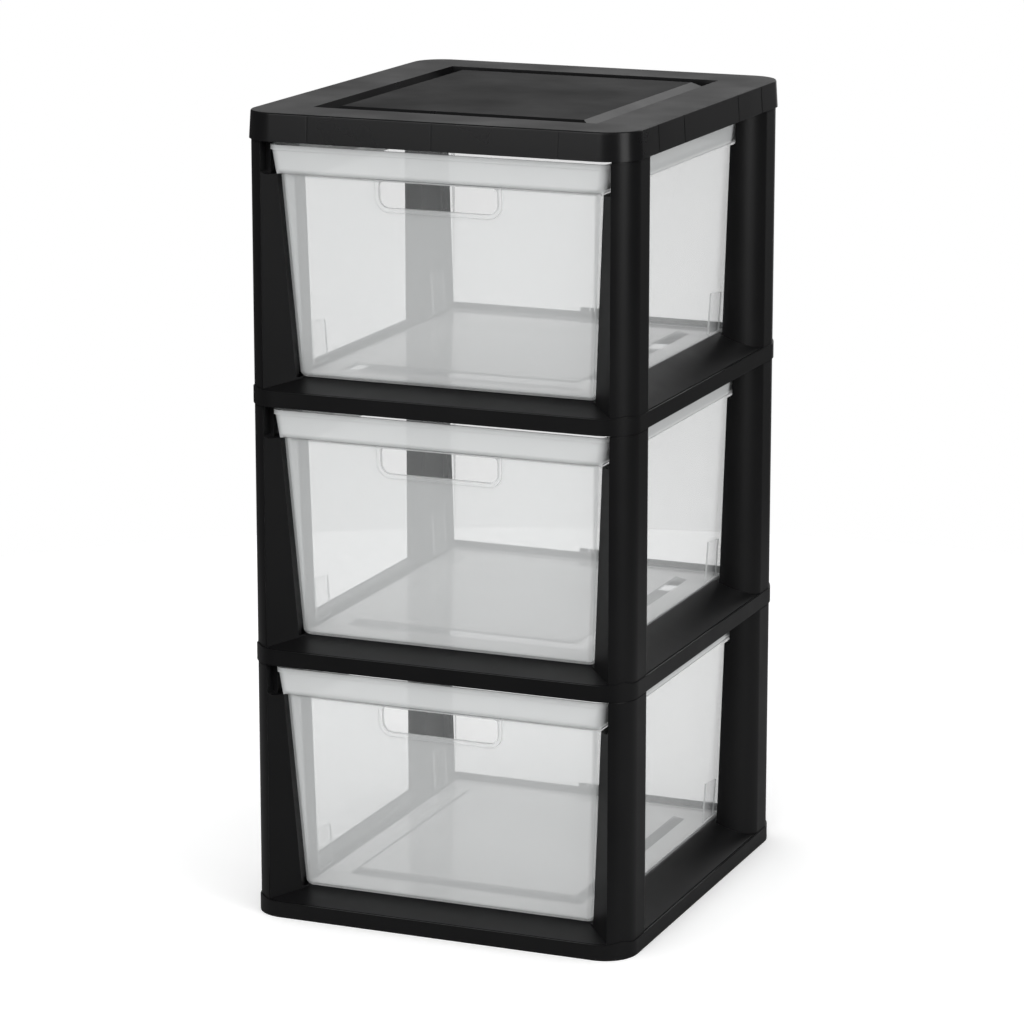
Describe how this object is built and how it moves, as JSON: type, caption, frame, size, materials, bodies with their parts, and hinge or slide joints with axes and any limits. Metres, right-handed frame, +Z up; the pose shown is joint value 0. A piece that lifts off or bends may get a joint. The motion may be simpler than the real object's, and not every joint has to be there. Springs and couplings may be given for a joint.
{
  "type": "drawer tower",
  "caption": "Free-standing tower of clear tapered drawers that slide in a black frame of open rings and corner posts, under a flat cover with a raised panel.",
  "frame": {"origin": "on the floor, under the middle of the tower", "axes": "+Z up, +X to the right across the front, +Y from the front to the back; the drawers open towards -Y"},
  "size_m": [0.3232, 0.3592, 0.646],
  "materials": {
    "black_frame": "injection-moulded black polypropylene, fine satin texture",
    "black_cover": "injection-moulded black polypropylene, satin, slightly lighter where light grazes the top",
    "clear_drawer": "translucent natural polypropylene, smooth, slightly milky"
  },
  "bodies": {
    "frame": {"base_ring": "black_frame", "lower_shelf_ring": "black_frame", "upper_shelf_ring": "black_frame", "top_cover": "black_cover", "bottom_front_left_post": "black_frame", "bottom_front_right_post": "black_frame", "bottom_back_left_post": "black_frame", "bottom_back_right_post": "black_frame", "middle_front_left_post": "black_frame", "middle_front_right_post": "black_frame", "middle_back_left_post": "black_frame", "middle_back_right_post": "black_frame", "top_front_left_post": "black_frame", "top_front_right_post": "black_frame", "top_back_left_post": "black_frame", "top_back_right_post": "black_frame"},
    "bottom_drawer": {"bottom_drawer": "clear_drawer"},
    "middle_drawer": {"middle_drawer": "clear_drawer"},
    "top_drawer": {"top_drawer": "clear_drawer"}
  },
  "joints": [
    {"name": "bottom_drawer_slide", "type": "slide", "parent": "frame", "child": "bottom_drawer", "axis": [0, -1, 0], "range_m": [0, 0.25]},
    {"name": "middle_drawer_slide", "type": "slide", "parent": "frame", "child": "middle_drawer", "axis": [0, -1, 0], "range_m": [0, 0.25]},
    {"name": "top_drawer_slide", "type": "slide", "parent": "frame", "child": "top_drawer", "axis": [0, -1, 0], "range_m": [0, 0.25]}
  ]
}
